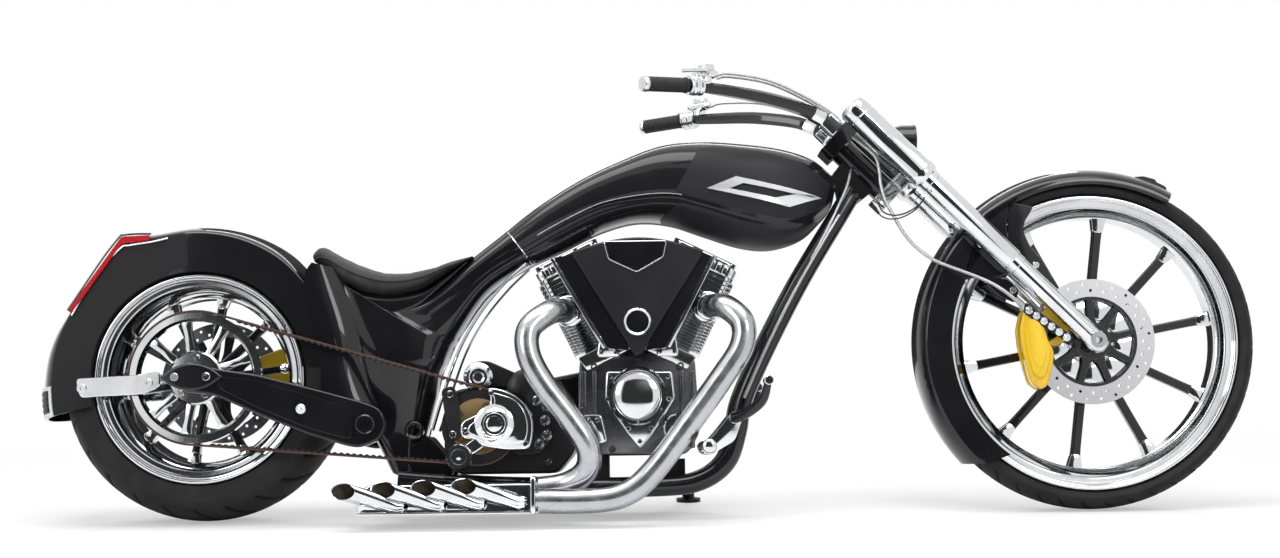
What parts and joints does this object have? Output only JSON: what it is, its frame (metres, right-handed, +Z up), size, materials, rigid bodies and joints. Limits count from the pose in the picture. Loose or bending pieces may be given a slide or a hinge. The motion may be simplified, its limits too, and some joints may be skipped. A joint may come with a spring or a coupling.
{
  "type": "motorcycle",
  "caption": "Long low V-twin chopper motorcycle with a raked fork, wide enclosed rear wheel and belt drive, leaning on its side stand.",
  "frame": {"origin": "middle of the bounding box's bottom face, on the ground, with the bike leaning on its side stand", "axes": "+X forward, +Y to the bike's left, +Z up from the ground"},
  "size_m": [2.8382, 0.6955, 1.0358],
  "materials": {
    "black_paint": "gloss",
    "charcoal_paint": "satin",
    "black_metal": "satin",
    "chrome": "polished",
    "stainless": "satin",
    "steel": "satin",
    "alloy": "satin",
    "tyre": "matte",
    "belt": "matte",
    "rubber": "matte",
    "leather": "satin",
    "red_lens": "gloss",
    "yellow_paint": "gloss",
    "bronze": "satin",
    "braid": "satin"
  },
  "bodies": {
    "chassis": {"neck": "black_paint", "frame_rail_right": "black_paint", "frame_rail_left": "black_paint", "engine_cradle": "black_metal", "rear_body": "black_paint", "fuel_tank": "charcoal_paint", "tank_trim": "chrome", "seat": "leather", "rear_fender": "charcoal_paint", "tail_lamps": "red_lens", "tail_bezels": "chrome", "fender_struts": "chrome", "swingarm_right": "black_paint", "swingarm_left": "black_paint", "pivot_shaft": "steel", "axle_covers": "black_paint", "drive_belt": "belt", "rear_axle_pin": "steel", "rear_caliper": "yellow_paint", "engine_case": "alloy", "cylinders": "chrome", "heads": "chrome", "pushrod_tubes": "chrome", "engine_cover": "black_metal", "cam_cover": "chrome", "transmission": "black_metal", "transmission_cover": "chrome", "starter": "chrome", "front_pulley_disc": "bronze", "primary_cover": "black_metal", "exhaust_rear": "stainless", "exhaust_front": "stainless", "muffler": "stainless", "foot_controls": "chrome", "frame_cable": "braid", "stand_bracket": "black_metal"},
    "fork": {"fork_yokes": "black_metal", "fork_legs": "chrome", "handlebar": "black_metal", "grips": "rubber", "hand_controls": "chrome", "headlamp": "black_paint", "front_fender": "black_paint", "front_caliper": "yellow_paint", "brake_line": "braid", "front_axle_pin": "steel"},
    "front_wheel": {"front_tyre": "tyre", "front_rim": "chrome", "front_disc": "steel"},
    "rear_wheel": {"rear_tyre": "tyre", "rear_rim": "chrome", "rear_pulley": "chrome", "rear_disc": "steel"},
    "side_stand": {"side_stand": "black_metal"}
  },
  "joints": [
    {"name": "steering", "type": "hinge", "parent": "chassis", "child": "fork", "pos_m": [0.517, 0.01648, 0.80012], "axis": [-0.7071, 0.0616, 0.7044], "range_deg": [-30, 30]},
    {"name": "front_wheel_spin", "type": "hinge", "parent": "fork", "child": "front_wheel", "pos_m": [1.028, -0.01942, 0.38969], "axis": [0, 0.9962, -0.0872], "continuous": true},
    {"name": "rear_wheel_spin", "type": "hinge", "parent": "chassis", "child": "rear_wheel", "pos_m": [-1.044, -0.02465, 0.32992], "axis": [0, 0.9962, -0.0872], "continuous": true},
    {"name": "side_stand", "type": "hinge", "parent": "chassis", "child": "side_stand", "pos_m": [0.049, 0.11651, 0.08468], "axis": [-0.0434, 0.4703, 0.8814], "range_deg": [0, 101.1]}
  ]
}
